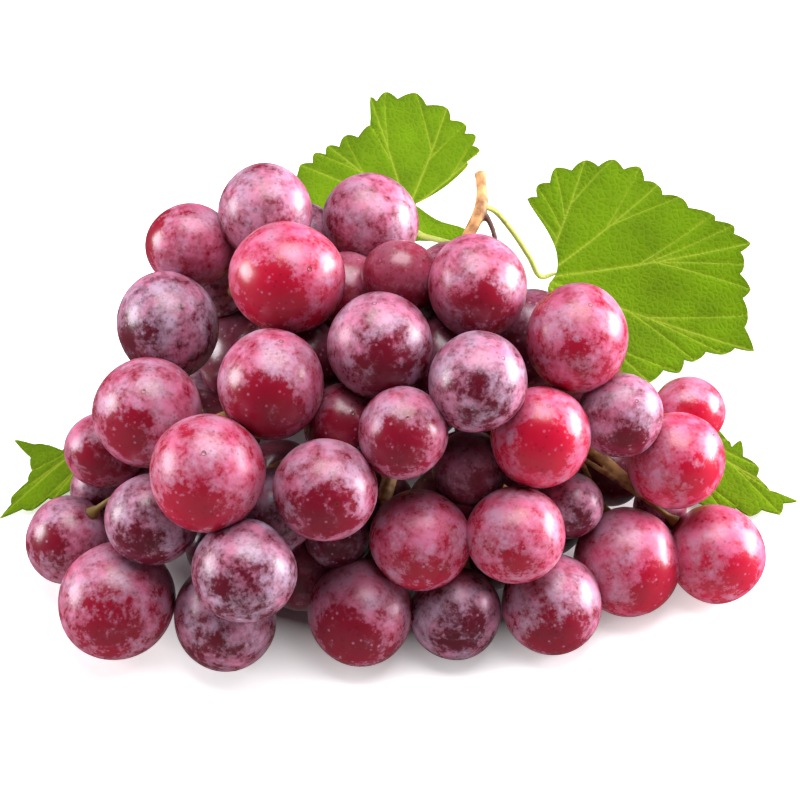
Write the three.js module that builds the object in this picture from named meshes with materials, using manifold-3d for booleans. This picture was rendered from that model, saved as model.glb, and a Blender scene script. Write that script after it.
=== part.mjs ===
// A bunch of red table grapes lying on a surface, with its stem and four vine leaves.
// Millimetres, +Z up, +X to the right. The origin is on the surface, under the middle of the bunch.
// The front view looks along +Y and down by SIGHT_TILT; "across" and "up" are measured in it.

import * as THREE from "three";
import { mergeVertices } from "three/addons/utils/BufferGeometryUtils.js";
import Module from "manifold-3d";

// Driving dimensions.
const SIGHT_TILT = THREE.MathUtils.degToRad(45); // how far the front view looks down
const EYE_DISTANCE = 1100; // from the eye to the middle of the view
const VIEW_MIDDLE = new THREE.Vector3(2, 0, 28); // the point in the middle of the view
const HEAP_HALF_WIDTH = 80; // the heap of berry centres: half an ellipsoid on the surface
const HEAP_FRONT = 58;
const HEAP_BACK = 44;
const HEAP_HEIGHT = 70;
const PRESS = 0.945; // distance between two touching berries, as a share of their radii's sum
const TOUCH = 0.975; // the same, up to which two berries count as touching
const LOOSE = 1.01 * PRESS; // a seen berry with no neighbour nearer than this is drawn to one
const FAR = 1.3 * PRESS; // unless the neighbour is further than this
const SETTLE_STEPS = 400;
const BERRY_FACETS = 1.03; // a facetted berry's corners, over its true radius
const BERRY_STRETCH = 1.05; // a berry's half length over its half width
const BERRY_FLAT = 0.6; // how far the lowest berries are pressed flat on the surface
const HIDDEN_RADIUS = 10.6; // the smallest berry out of sight, except in a narrow gap
const HIDDEN_RADIUS_SPREAD = 1.6; // how much larger the largest is
const HIDDEN_SHELLS = [1, 0.9, 0.8, 0.7, 0.6, 0.5, 0.4]; // heap levels filled, from the outside in
const HIDDEN_DIRECTIONS = 900; // places tried on each
const HIDDEN_SEED = 11;
const GAP_REACH = 9; // a gap in the front view has berries this far round it,
const GAP_OPEN = 0.2; // except over this share of the circle
const GAP_SIZES = [1, 0.85, 0.7, 0.6]; // a narrow gap holds a smaller berry
const CLOSE_BY = 1.3; // distance to a neighbour that holds a hidden berry, as a share of the radii's sum
const VIEW_MARGIN = 1.5; // how far a hidden berry may stand past a seen one in the front view
const GAP_LEAST_DEEP = 4; // how far a berry in a gap sits behind the heap's surface
const GAP_DEEPEST = 45;
const GAP_STEP = 3; // between the places where the front view is tried for gaps
const PEDICEL_RADIUS = 0.85;
const PEDICEL_BEND = 5; // the steps in which a pedicel is bent aside
const PEDICELS_FROM_Y = 30; // the stem is bare behind this
const PEDICEL_CLEAR = 0.35; // from a pedicel to a berry that isn't its own
const PEDICEL_SHOWN = 60; // how much further a pedicel goes rather than show all its length
const ARM_CLEAR = 2.2; // from an arm's axis to the berries round it
const GAP = 0.3; // between pieces that touch
const LEAF_THICKNESS = 0.8;
const TOOTH_DEPTH = 1.7;

// Berries that the front view shows: across, up, radius, and how far each stands out of the heap.
const SEEN_BERRIES = [
  [-50.4, 37.0, 10.3, 0],
  [-32.4, 45.1, 11.3, 0],
  [-7.0, 43.0, 11.3, 0],
  [-27.1, 29.3, 13.7, 6],
  [0.0, 29.5, 9.1, -8],
  [18.7, 27.1, 12.2, 2],
  [42.5, 14.9, 12.7, 4],
  [-55.7, 17.8, 12.5, 4],
  [-4.8, 13.0, 12.7, 2],
  [-31.0, 3.8, 13.0, 6],
  [18.7, 4.3, 12.0, 6],
  [-60.7, -2.9, 13.2, -2],
  [33.8, -8.9, 12.0, 6],
  [0.7, -7.9, 11.0, 8],
  [52.8, -3.6, 10.3, 0],
  [69.1, -2.9, 8.6, -6],
  [66.2, -14.6, 11.5, 0],
  [-46.3, -17.5, 14.2, 8],
  [-18.0, -21.6, 12.5, 6],
  [-70.6, -12.0, 9.4, -8],
  [-59.5, -28.6, 11.0, 4],
  [4.8, -33.6, 12.0, 8],
  [27.8, -32.4, 11.8, 8],
  [40.8, -25.2, 7.9, -4],
  [16.8, -16.3, 9.1, -8],
  [-37.4, -41.0, 12.5, 6],
  [-79.7, -33.6, 10.3, 4],
  [-12.7, 25.2, 10.1, -16],
  [-13.2, -6.0, 10.1, -12],
];

// Berries of the front row, which rest on the surface: across, up, radius.
const RESTING_BERRIES = [
  [54.5, -38.9, 12.7],
  [75.8, -37.0, 11.5],
  [-67.9, -48.2, 13.9],
  [-42.0, -52.1, 12.5],
  [-9.4, -50.9, 12.5],
  [13.2, -51.1, 11.0],
  [36.5, -49.0, 11.8],
  [-23.3, -39.6, 10.6],
];

// The stem's arms: radius and the points that each runs through.
const FORK = [21.6, 39, 55];
const STEM_ARMS = [
  [1.9, [[21.6, 48.5, 57.5], FORK, [18, 32, 50], [14, 14, 39], [8, -4, 34], [2, -18, 31], [-2, -32, 26]]],
  [1.5, [[12, 8, 37], [-8, 3, 35], [-30, -6, 33], [-48, -12, 30], [-61, -19, 30]]],
  [1.5, [[9, 0, 35], [28, -6, 33], [44, -14, 29], [58, -25, 23]]],
  [1.2, [[-18, -1, 34], [-28, 8, 42], [-36, 13, 50]]],
  [1.2, [[5, -10, 33], [-12, -18, 32], [-28, -26, 31], [-44, -36, 27]]],
  [1.2, [[3, -15, 32], [18, -22, 27], [34, -30, 22]]],
];

const ACROSS = new THREE.Vector3(1, 0, 0);
const UP = new THREE.Vector3(0, Math.sin(SIGHT_TILT), Math.cos(SIGHT_TILT));
const SIGHT = new THREE.Vector3(0, Math.cos(SIGHT_TILT), -Math.sin(SIGHT_TILT));

// The point seen at (across, up), depth further than the middle of the view.
function seenAt(across, up, depth) {
  const spread = 1 + depth / EYE_DISTANCE;
  return VIEW_MIDDLE.clone()
    .addScaledVector(ACROSS, across * spread)
    .addScaledVector(UP, up * spread)
    .addScaledVector(SIGHT, depth);
}

// 1 on the heap's surface, less inside it.
function heapLevel(p) {
  const reach = p.y < 0 ? HEAP_FRONT : HEAP_BACK;
  return Math.hypot(p.x / HEAP_HALF_WIDTH, p.y / reach, p.z / HEAP_HEIGHT);
}

// The depth at which a line of sight first meets the heap, or passes nearest to it.
function heapDepth(across, up, radius) {
  let best = 9;
  let depthThere = 0;
  for (let depth = -90; depth < 90; depth += 1) {
    const p = seenAt(across, up, depth);
    if (p.z < radius) break;
    const level = heapLevel(p);
    if (level <= 1) return depth;
    if (level < best) {
      best = level;
      depthThere = depth;
    }
  }
  return depthThere;
}

// The depth at which a berry seen at (across, up) rests on the surface.
function restingDepth(across, up, radius) {
  let near = -200;
  let far = 200;
  for (let i = 0; i < 50; i++) {
    const middle = (near + far) / 2;
    const height = seenAt(across, up, middle).z;
    if (height > radius * (1 + middle / EYE_DISTANCE) - BERRY_FLAT) near = middle;
    else far = middle;
  }
  return near;
}

// The distance between two berries as a share of their radii's sum.
function closeness(a, b) {
  return a.centre.distanceTo(b.centre) / (a.radius + b.radius);
}

// How far berry a must go in depth until it is press of the radii's sum from b; null if it passes by.
function depthToTouch(a, b, press) {
  const wanted = (a.radius + b.radius) * press;
  const deeper = a.depth - b.depth;
  const sideways = a.centre.distanceToSquared(b.centre) - deeper * deeper;
  if (sideways > wanted * wanted) return null;
  return (deeper > 0 ? 1 : -1) * Math.sqrt(wanted * wanted - sideways) - deeper;
}

// A berry that touches none is drawn in depth towards the nearest that it can touch.
function drawTowards(berries, berry) {
  let nearest = null;
  for (const other of berries) {
    if (other === berry || depthToTouch(berry, other, PRESS) === null) continue;
    if (!nearest || closeness(berry, other) < closeness(berry, nearest)) nearest = other;
  }
  if (!nearest || closeness(berry, nearest) < LOOSE || closeness(berry, nearest) > FAR) return 0;
  return 0.2 * depthToTouch(berry, nearest, PRESS);
}

// The group of touching berries that each berry belongs to, as the number of its first member.
function groupsOf(berries) {
  const group = berries.map((_, i) => i);
  for (let pass = 0; pass < berries.length; pass++) {
    berries.forEach((a, i) => {
      berries.forEach((b, j) => {
        if (group[j] < group[i] && closeness(a, b) < TOUCH) group[i] = group[j];
      });
    });
  }
  return group;
}

// The easiest move in depth that brings a whole group of berries up to another, or null.
// It is easier for a group to sink back into the heap than to come out of it.
function easiestJoin(berries) {
  const group = groupsOf(berries);
  let best = null;
  berries.forEach((berry, i) => {
    const members = berries.filter((_, k) => group[k] === group[i]);
    const others = berries.filter((_, k) => group[k] !== group[i]);
    if (members.some((member) => member.rests)) return;
    for (const other of others) {
      const move = depthToTouch(berry, other, PRESS + 0.01);
      const effort = move > 0 ? move : -1.5 * move;
      if (move === null || (best && best.effort <= effort)) continue;
      if (members.some((member) => member.depth + move > member.limit)) continue;
      const moved = members.map((member) => seenBerry(member, member.depth + move));
      const crowded = moved.some((a) => others.some((b) => closeness(a, b) < PRESS - 0.05));
      if (!crowded) best = { move, effort, members };
    }
  });
  return best;
}

// A seen berry at another depth: it keeps its place and its size in the front view.
function seenBerry(berry, depth) {
  const { across, up, seenRadius } = berry;
  const centre = seenAt(across, up, depth);
  return { ...berry, depth, centre, radius: seenRadius * (1 + depth / EYE_DISTANCE) };
}

// The seen berries give way to each other in depth, and then close up.
function placeSeenBerries() {
  let berries = [
    ...SEEN_BERRIES.map(([across, up, seenRadius, out]) => {
      const home = heapDepth(across, up, seenRadius) - out;
      const limit = restingDepth(across, up, seenRadius);
      return seenBerry({ across, up, seenRadius, home, limit, rests: false }, home);
    }),
    ...RESTING_BERRIES.map(([across, up, seenRadius]) => {
      const limit = restingDepth(across, up, seenRadius);
      return seenBerry({ across, up, seenRadius, home: limit, limit, rests: true }, limit);
    }),
  ];
  for (let step = 0; step < SETTLE_STEPS; step++) {
    berries = berries.map((berry) => {
      if (berry.rests) return berry;
      let move = 0.02 * (berry.home - berry.depth) + drawTowards(berries, berry);
      for (const other of berries) {
        if (other === berry || closeness(berry, other) >= PRESS) continue;
        move += 0.25 * depthToTouch(berry, other, PRESS);
      }
      return seenBerry(berry, Math.min(berry.depth + move, berry.limit));
    });
  }
  for (let join = easiestJoin(berries); join; join = easiestJoin(berries)) {
    const moved = join.members.map((berry) => seenBerry(berry, berry.depth + join.move));
    berries = berries.map((berry) => moved[join.members.indexOf(berry)] ?? berry);
  }
  return berries;
}

// Random numbers from 0 to 1, the same at every run.
function seededRandom(seed) {
  let state = seed;
  return () => {
    state = (state * 1664525 + 1013904223) % 4294967296;
    return state / 4294967296;
  };
}

const vectors = (points) => points.map((p) => new THREE.Vector3(...p));
const armPaths = STEM_ARMS.map(([radius, points]) => ({
  radius,
  curve: new THREE.CatmullRomCurve3(vectors(points)),
}));
const armPoints = armPaths.flatMap(({ curve }) => curve.getPoints(24));

// The point of the arms' axes that is nearest to p.
function nearestArm(p) {
  return armPoints.reduce((a, b) => (p.distanceTo(b) < p.distanceTo(a) ? b : a));
}

// Places kept for the two low leaves, which lie on the surface under the bunch's ends,
// and for the large leaf behind its right end.
function isOverLeaf(p, radius) {
  const low = p.z - radius;
  const end = Math.abs(p.x) + radius > 62 && p.y + radius > -14 && low < 7;
  const behind = p.x + radius > 34 && p.y + radius > 24 && low < 20;
  return end || behind;
}

// Whether a berry fits among the others, with at least so many neighbours close by.
function fits(berries, berry, neighbours) {
  const { centre, radius } = berry;
  if (isOverLeaf(centre, radius)) return false;
  if (centre.distanceTo(nearestArm(centre)) < radius + ARM_CLEAR) return false;
  if (berries.some((other) => closeness(berry, other) < PRESS - 0.02)) return false;
  return berries.filter((other) => closeness(berry, other) < CLOSE_BY).length >= neighbours;
}

// Where a point lies in the front view: across, up and depth.
function viewOf(p) {
  const line = p.clone().sub(VIEW_MIDDLE);
  const depth = line.dot(SIGHT);
  const spread = 1 + depth / EYE_DISTANCE;
  return { across: line.dot(ACROSS) / spread, up: line.dot(UP) / spread, depth, spread };
}

// Points round a circle in the front view that no seen berry covers, as a share of the circle.
function shareOutside(discs, across, up, radius, margin) {
  const points = 16;
  let outside = 0;
  for (let i = 0; i < points; i++) {
    const turn = (2 * Math.PI * i) / points;
    const [x, y] = [across + radius * Math.cos(turn), up + radius * Math.sin(turn)];
    if (!isCovered(discs, x, y, margin)) outside += 1;
  }
  return outside / points;
}

function isCovered(discs, across, up, margin) {
  return discs.some((disc) => Math.hypot(across - disc.across, up - disc.up) < disc.radius + margin);
}

const discsOf = (berries) =>
  berries.map(({ centre, radius }) => {
    const { across, up, depth, spread } = viewOf(centre);
    return { across, up, depth, radius: radius / spread };
  });

// A dark berry sits behind each gap that the front view shows between the others.
function placeGapBerries(seen, random) {
  const berries = [...seen];
  const outline = discsOf(seen);
  for (let up = 54; up > -60; up -= GAP_STEP) {
    for (let across = -90; across < 90; across += GAP_STEP) {
      if (isCovered(discsOf(berries), across, up, 0)) continue;
      if (shareOutside(outline, across, up, GAP_REACH, 0) > GAP_OPEN) continue;
      const fullRadius = HIDDEN_RADIUS + HIDDEN_RADIUS_SPREAD * random();
      for (const size of GAP_SIZES) {
        const radius = fullRadius * size;
        const centre = nearestFit(berries, outline, across, up, radius);
        if (!centre) continue;
        berries.push({ centre, radius });
        break;
      }
    }
  }
  return berries;
}

// The least deep free place behind the heap's surface for a berry that covers (across, up).
function nearestFit(berries, outline, across, up, radius) {
  let best = null;
  for (let i = 0; i < 17; i++) {
    const off = i === 0 ? 0 : i < 9 ? radius * 0.4 : radius * 0.75;
    const x = across + off * Math.cos((Math.PI * i) / 4);
    const y = up + off * Math.sin((Math.PI * i) / 4);
    if (shareOutside(outline, x, y, radius, VIEW_MARGIN) > 0) continue;
    const surface = heapDepth(x, y, radius);
    const limit = Math.min(restingDepth(x, y, radius), surface + GAP_DEEPEST);
    for (let depth = surface + GAP_LEAST_DEEP; depth <= limit; depth += 1) {
      if (best && depth - surface >= best.sunk) break;
      const centre = seenAt(x, y, depth);
      if (!fits(berries, { centre, radius }, 0)) continue;
      best = { centre, sunk: depth - surface };
      break;
    }
  }
  return best && best.centre;
}

// The hidden berries fill the heap from the outside in, wherever one fits out of sight, and settle.
function placeHiddenBerries(seen) {
  const random = seededRandom(HIDDEN_SEED);
  const outline = discsOf(seen);
  const berries = placeGapBerries(seen, random);
  const turnStep = Math.PI * (3 - Math.sqrt(5));
  let radius = HIDDEN_RADIUS + HIDDEN_RADIUS_SPREAD * random();
  for (const level of HIDDEN_SHELLS) {
    for (let i = 0; i < HIDDEN_DIRECTIONS; i++) {
      const height = (i + 0.5) / HIDDEN_DIRECTIONS;
      const ring = Math.sqrt(1 - height * height);
      const y = level * ring * Math.sin(i * turnStep);
      const centre = new THREE.Vector3(
        HEAP_HALF_WIDTH * level * ring * Math.cos(i * turnStep),
        y * (y < 0 ? HEAP_FRONT : HEAP_BACK),
        Math.max(HEAP_HEIGHT * level * height, radius - BERRY_FLAT),
      );
      const { across, up } = viewOf(centre);
      if (shareOutside(outline, across, up, radius, VIEW_MARGIN) > 0) continue;
      if (!fits(berries, { centre, radius }, 2)) continue;
      berries.push({ centre, radius });
      radius = HIDDEN_RADIUS + HIDDEN_RADIUS_SPREAD * random();
    }
  }
  for (let step = 0; step < SETTLE_STEPS / 2; step++) {
    for (const berry of berries.slice(seen.length)) settle(berries, berry);
  }
  return berries;
}

// One step of a berry away from those that it presses into, and towards its three nearest neighbours.
// It stays clear of the arms and on the surface.
function settle(berries, berry) {
  const pulls = berries
    .filter((other) => other !== berry)
    .map((other) => {
      const line = other.centre.clone().sub(berry.centre);
      const gap = line.length() - PRESS * (berry.radius + other.radius);
      return { line: line.normalize(), gap };
    })
    .sort((a, b) => a.gap - b.gap);
  pulls.forEach(({ line, gap }, nth) => {
    if (gap < 0) berry.centre.addScaledVector(line, 0.3 * gap);
    else if (nth < 3) berry.centre.addScaledVector(line, Math.min(0.1 * gap, 0.2));
  });
  const arm = nearestArm(berry.centre);
  const missing = berry.radius + ARM_CLEAR - berry.centre.distanceTo(arm);
  if (missing > 0) berry.centre.addScaledVector(berry.centre.clone().sub(arm).normalize(), missing);
  berry.centre.z = Math.max(berry.centre.z, berry.radius - BERRY_FLAT);
}

// A closed geometry as a solid that can be joined and cut.
const wasm = await Module();
wasm.setup();
function solidOf(geometry) {
  const plain = geometry.clone();
  plain.deleteAttribute("normal");
  plain.deleteAttribute("uv");
  const merged = mergeVertices(plain, 1e-4);
  return new wasm.Manifold(
    new wasm.Mesh({
      numProp: 3,
      vertProperties: merged.attributes.position.array,
      triVerts: new Uint32Array(merged.index.array),
    }),
  );
}

function meshOf(name, solid, material) {
  const { vertProperties, triVerts } = solid.getMesh();
  const geometry = new THREE.BufferGeometry();
  geometry.setAttribute("position", new THREE.BufferAttribute(vertProperties, 3));
  geometry.setIndex(new THREE.BufferAttribute(triVerts, 1));
  geometry.computeVertexNormals();
  const mesh = new THREE.Mesh(geometry, material);
  mesh.name = name;
  return mesh;
}

const joined = (solids) => solids.reduce((all, solid) => all.add(solid));
const largest = (solid) => solid.decompose().reduce((a, b) => (a.volume() > b.volume() ? a : b));

// A round bar along a curve.
function bar(curve, radius, sides, steps) {
  const corners = [];
  for (let i = 0; i < sides; i++) {
    const turn = (2 * Math.PI * i) / sides;
    corners.push(new THREE.Vector2(radius * Math.cos(turn), radius * Math.sin(turn)));
  }
  return solidOf(new THREE.ExtrudeGeometry(new THREE.Shape(corners), { extrudePath: curve, steps }));
}

// Berries and the pedicels that carry them.
const berries = placeHiddenBerries(placeSeenBerries());

const discs = discsOf(berries);
const pedicelReach = (berry) => berry.radius * BERRY_STRETCH + PEDICEL_RADIUS + PEDICEL_CLEAR;

// The share of some points that no berry hides in the front view.
function shareShown(points) {
  const shown = points.filter((p) => {
    const { across, up, depth } = viewOf(p);
    return !discs.some((disc) => {
      const off = Math.hypot(across - disc.across, up - disc.up);
      return off < disc.radius && depth > disc.depth - Math.sqrt(disc.radius ** 2 - off ** 2);
    });
  });
  return shown.length / points.length;
}

// The easiest way for a pedicel from an arm to a berry, clear of all the other berries.
function pedicelTo(berry) {
  let best = null;
  for (const root of armPoints) {
    if (root.y > PEDICELS_FROM_Y) continue;
    const line = berry.centre.clone().sub(root);
    const sideways = new THREE.Vector3(-line.y, line.x, 0).normalize();
    const across = line.clone().cross(sideways).normalize();
    for (let bend = 0; bend < 33; bend++) {
      const aside = Math.ceil(bend / 8) * PEDICEL_BEND;
      const turn = (Math.PI * bend) / 4;
      const middle = root
        .clone()
        .lerp(berry.centre, 0.5)
        .addScaledVector(sideways, aside * Math.cos(turn))
        .addScaledVector(across, aside * Math.sin(turn));
      const curve = new THREE.QuadraticBezierCurve3(root, middle, berry.centre);
      const length = line.length() + aside;
      if (best && length >= best.effort) continue;
      const others = berries.filter((other) => other !== berry);
      const isBlocked = (p) => others.some((other) => p.distanceTo(other.centre) < pedicelReach(other));
      const points = curve.getPoints(14);
      if (points.some(isBlocked)) continue;
      const effort = length + PEDICEL_SHOWN * shareShown(points);
      if (!best || effort < best.effort) best = { curve, effort };
    }
  }
  return best;
}

// A berry is slightly long, and its long axis points along its pedicel.
function berrySolid({ centre, radius, axis }, extra) {
  const geometry = new THREE.IcosahedronGeometry(BERRY_FACETS * radius + extra, 1);
  geometry.scale(1, 1, BERRY_STRETCH);
  geometry.applyQuaternion(new THREE.Quaternion().setFromUnitVectors(new THREE.Vector3(0, 0, 1), axis));
  geometry.translate(centre.x, centre.y, centre.z);
  return solidOf(geometry);
}

const STEM_MIDDLE = new THREE.Vector3(0, -4, 34);
const pedicels = berries.map(pedicelTo);
berries.forEach((berry, i) => {
  berry.axis = pedicels[i]
    ? pedicels[i].curve.getTangent(1)
    : berry.centre.clone().sub(STEM_MIDDLE).normalize();
});

const aboveSurface = solidOf(new THREE.BoxGeometry(400, 400, 400).translate(0, 0, 200));
const berriesSolid = joined(berries.map((berry) => berrySolid(berry, 0))).intersect(aboveSurface);
const berriesGrown = joined(berries.map((berry) => berrySolid(berry, GAP / 0.93)));

const arms = armPaths.map(({ radius, curve }) => bar(curve, radius, 6, 8));
const pedicelBars = pedicels.filter(Boolean).map(({ curve }) => bar(curve, PEDICEL_RADIUS, 4, 3));
const stemSolid = largest(joined([...arms, ...pedicelBars]).subtract(berriesGrown));

// A leaf: its outline as the front view shows it, its junction with its petiole, and its lie.
const LEAVES = [
  {
    name: "leaf_top_right",
    middle: [50, 36],
    teeth: [
      [60, 4.3], [67.2, 6.7], [70.8, 9.4], [77.8, 11], [85, 11.8], [83.5, 20.4], [84.2, 26.6], [82.6, 32.6],
      [84.2, 37.7], [79.9, 42], [75.1, 44.6], [67.2, 48.7], [61.9, 51.6], [57.6, 55.9], [51.1, 57.8],
      [44.4, 57.6], [37.2, 55.7], [32.9, 51.4], [30.5, 48.2],
    ],
    sinus: [[32.4, 45.1], [35.5, 40.3], [37.4, 36], [37.6, 30.8]],
    base: [[35.5, 27.1], [36.5, 23.3], [40.3, 18], [44.4, 13.2], [48, 9.1], [54, 5.3]],
    petiole: [[24.3, 39.8, 54.2], [29, 43, 44], [34, 49, 29], [37.6, 54.6, 16.9], [41, 56, 16.9]],
    petioleRadius: 1,
    junction: [37.4, 54.9, 16.5],
    rise: 0.6,
    reach: 50,
    wave: 1.5,
    waves: 5,
  },
  {
    name: "leaf_top_left",
    middle: [-6, 47],
    teeth: [
      [15.8, 55.7], [19.2, 59.8], [18.2, 63.4], [15.8, 66], [11.3, 70.1], [3.8, 73.7], [-3.6, 73.9],
      [-7.2, 72.7], [-7.2, 66], [-13.2, 63.4], [-17.3, 61], [-20.4, 59.3], [-24, 56.4],
    ],
    sinus: [[-25, 51], [-22, 46.8], [-18.7, 42.7], [-13.2, 40.3], [-7.2, 38.4], [-1.2, 37.2]],
    base: [
      [4.3, 38.2], [13.4, 38.2], [15.8, 40.6], [9.1, 43], [4.6, 46.1], [3.8, 47], [5.8, 48.2], [11, 51.4],
    ],
    petiole: [[15.6, 33.2, 48], [12, 41, 42], [6, 54, 33], [3.4, 64.2, 30], [1, 66.5, 30.6]],
    petioleRadius: 1,
    junction: [3.6, 64.2, 30],
    rise: 0.35,
    reach: 40,
    wave: 1.2,
    waves: 4,
  },
  {
    name: "leaf_low_left",
    middle: [-78, -15],
    teeth: [
      [-79, -11.5], [-85, -10.8], [-92.6, -9.6], [-88.3, -17], [-93, -23], [-96, -28.3], [-88.3, -26.4],
      [-83, -23.5], [-75.8, -22.8],
    ],
    sinus: [[-70, -20.5], [-64, -17], [-61, -9]],
    base: [[-62, 0], [-68, -1], [-72, -5]],
    petiole: [[-50, 28, 4.4], [-56, 26, 5], [-62, 23.5, 5], [-66, 21, 4.6]],
    petioleRadius: 0.9,
    junction: [-62, 23, 5],
    rise: 0.09,
    reach: 42,
    wave: 0.5,
    waves: 3,
  },
  {
    name: "leaf_low_right",
    middle: [78, -17],
    teeth: [
      [77.8, -26.9], [84, -27.8], [91.2, -27.4], [95.3, -24.2], [88.8, -21.8], [86, -16], [81.8, -9.8],
      [78.7, -9.8],
    ],
    sinus: [[74, -5], [68, -2], [62, -4]],
    base: [[61, -12], [64, -19], [70, -24]],
    petiole: [[53, 26, 4.4], [58, 23, 5], [64, 19.5, 5], [68, 16, 4.6]],
    petioleRadius: 0.9,
    junction: [64, 19, 5],
    rise: 0.09,
    reach: 42,
    wave: 0.5,
    waves: 3,
  },
];

// A blade slopes up towards the back, and waves more the further it is from the junction.
function leafHeight(leaf, x, y) {
  const dx = x - leaf.junction[0];
  const dy = y - leaf.junction[1];
  const out = Math.hypot(dx, dy) / leaf.reach;
  const wave = leaf.wave * out * out * Math.sin(leaf.waves * Math.atan2(dy, dx));
  return leaf.junction[2] + leaf.rise * dy + wave;
}

// The point of a leaf that is seen at (across, up).
function onLeaf(leaf, across, up) {
  let depth = 0;
  for (let i = 0; i < 60; i++) {
    const p = seenAt(across, up, depth);
    depth += 0.9 * (p.z - leafHeight(leaf, p.x, p.y));
  }
  return seenAt(across, up, depth);
}

// The outline with a notch cut between each two teeth.
function leafOutline(leaf) {
  const points = [];
  leaf.teeth.forEach(([across, up], i) => {
    points.push([across, up]);
    if (i === leaf.teeth.length - 1) return;
    const [nextAcross, nextUp] = leaf.teeth[i + 1];
    const notch = new THREE.Vector2(across, up).lerp(new THREE.Vector2(nextAcross, nextUp), 0.55);
    const inwards = new THREE.Vector2(...leaf.middle).sub(notch).normalize();
    notch.addScaledVector(inwards, TOOTH_DEPTH);
    points.push([notch.x, notch.y]);
  });
  return [...points, ...leaf.sinus, ...leaf.base];
}

// Rings from the middle to the outline, with the same triangles on both faces.
function leafBlade(leaf) {
  const middle = onLeaf(leaf, ...leaf.middle);
  const edge = leafOutline(leaf).map(([across, up]) => onLeaf(leaf, across, up));
  const count = edge.length;
  const ringShares = [0.4, 0.75, 1];
  const corners = [middle];
  for (const share of ringShares) {
    for (const corner of edge) {
      const p = middle.clone().lerp(corner, share);
      corners.push(new THREE.Vector3(p.x, p.y, leafHeight(leaf, p.x, p.y)));
    }
  }
  const positions = [1, -1].flatMap((side) =>
    corners.flatMap((p) => [p.x, p.y, p.z + (side * LEAF_THICKNESS) / 2]),
  );
  const under = corners.length;
  const triangles = [];
  const face = (a, b, c) => triangles.push(a, b, c, under + a, under + c, under + b);
  for (let i = 0; i < count; i++) {
    const next = (i + 1) % count;
    face(0, 1 + i, 1 + next);
    for (let ring = 1; ring < ringShares.length; ring++) {
      const inner = 1 + (ring - 1) * count;
      const outer = 1 + ring * count;
      face(inner + i, outer + i, outer + next);
      face(inner + i, outer + next, inner + next);
    }
    const rim = 1 + (ringShares.length - 1) * count;
    const [upper, nextUpper] = [rim + i, rim + next];
    triangles.push(upper, under + upper, under + nextUpper);
    triangles.push(upper, under + nextUpper, nextUpper);
  }
  const geometry = new THREE.BufferGeometry();
  geometry.setAttribute("position", new THREE.Float32BufferAttribute(positions, 3));
  geometry.setIndex(triangles);
  return solidOf(geometry);
}

const red = new THREE.MeshStandardMaterial({ color: 0x9c1f3c, roughness: 0.35, metalness: 0 });
const tan = new THREE.MeshStandardMaterial({ color: 0xd9a05a, roughness: 0.7, metalness: 0 });
const green = new THREE.MeshStandardMaterial({ color: 0x7cb518, roughness: 0.55, metalness: 0 });

const group = new THREE.Group();
group.add(meshOf("berries", berriesSolid, red));
group.add(meshOf("stem", stemSolid, tan));
for (const leaf of LEAVES) {
  const petiole = bar(new THREE.CatmullRomCurve3(vectors(leaf.petiole)), leaf.petioleRadius, 6, 8);
  group.add(meshOf(leaf.name, leafBlade(leaf).add(petiole), green));
}

// The origin goes under the middle of the whole, on the surface.
const bounds = new THREE.Box3().setFromObject(group);
const centre = bounds.getCenter(new THREE.Vector3());
group.position.set(-centre.x, -centre.y, -bounds.min.z);

export default group;
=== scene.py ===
# A bunch of red table grapes lying on a pale surface, with its stem and four vine leaves.
# The bunch is worked out in millimetres, as in its source, and every mesh is in metres.
# The front view looks along +Y and down; "across" and "up" are measured in it.

import math
import random

import bpy
import numpy as np
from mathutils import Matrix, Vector, geometry, noise


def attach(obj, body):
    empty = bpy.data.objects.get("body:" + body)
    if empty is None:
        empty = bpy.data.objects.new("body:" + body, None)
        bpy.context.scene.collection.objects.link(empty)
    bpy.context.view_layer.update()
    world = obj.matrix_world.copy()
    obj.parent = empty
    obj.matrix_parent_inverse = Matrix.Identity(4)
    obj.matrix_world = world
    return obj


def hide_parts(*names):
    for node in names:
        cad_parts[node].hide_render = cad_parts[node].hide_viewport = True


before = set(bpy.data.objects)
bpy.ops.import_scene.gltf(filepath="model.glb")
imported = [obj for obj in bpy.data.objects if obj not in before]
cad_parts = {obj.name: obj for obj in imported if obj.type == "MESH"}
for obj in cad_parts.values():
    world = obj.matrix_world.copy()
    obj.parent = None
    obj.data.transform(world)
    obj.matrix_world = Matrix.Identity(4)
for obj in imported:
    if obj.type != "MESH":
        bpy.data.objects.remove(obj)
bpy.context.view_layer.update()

# How the berries lie in the bunch
# The berries of a bunch press against each other in a heap that rests on the surface. Those that
# show keep their place in the front view and give way to each other in depth.
MM = 0.001
FRAME_MIDDLE = np.array([1.7793, 12.0442, 0.0])  # where the frame's origin is in the bunch
SIGHT_TILT = math.radians(45)
EYE_DISTANCE = 1100.0
VIEW_MIDDLE = np.array([2.0, 0.0, 28.0])
ACROSS = np.array([1.0, 0.0, 0.0])
UP = np.array([0.0, math.sin(SIGHT_TILT), math.cos(SIGHT_TILT)])
SIGHT = np.array([0.0, math.cos(SIGHT_TILT), -math.sin(SIGHT_TILT)])
HEAP_HALF_WIDTH = 80.0
HEAP_FRONT = 58.0
HEAP_BACK = 44.0
HEAP_HEIGHT = 70.0
PRESS = 0.945
TOUCH = 0.975
LOOSE = 1.01 * PRESS
FAR = 1.3 * PRESS
SETTLE_STEPS = 400
DEPTHS = range(-90, 90)
NEAREST = -200
FURTHEST = 200
HALVINGS = 50
BERRY_FLAT = 0.6
HIDDEN_RADIUS = 10.6
HIDDEN_RADIUS_SPREAD = 1.6
HIDDEN_SHELLS = [1, 0.9, 0.8, 0.7, 0.6, 0.5, 0.4]
HIDDEN_DIRECTIONS = 900
HIDDEN_SEED = 11
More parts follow.
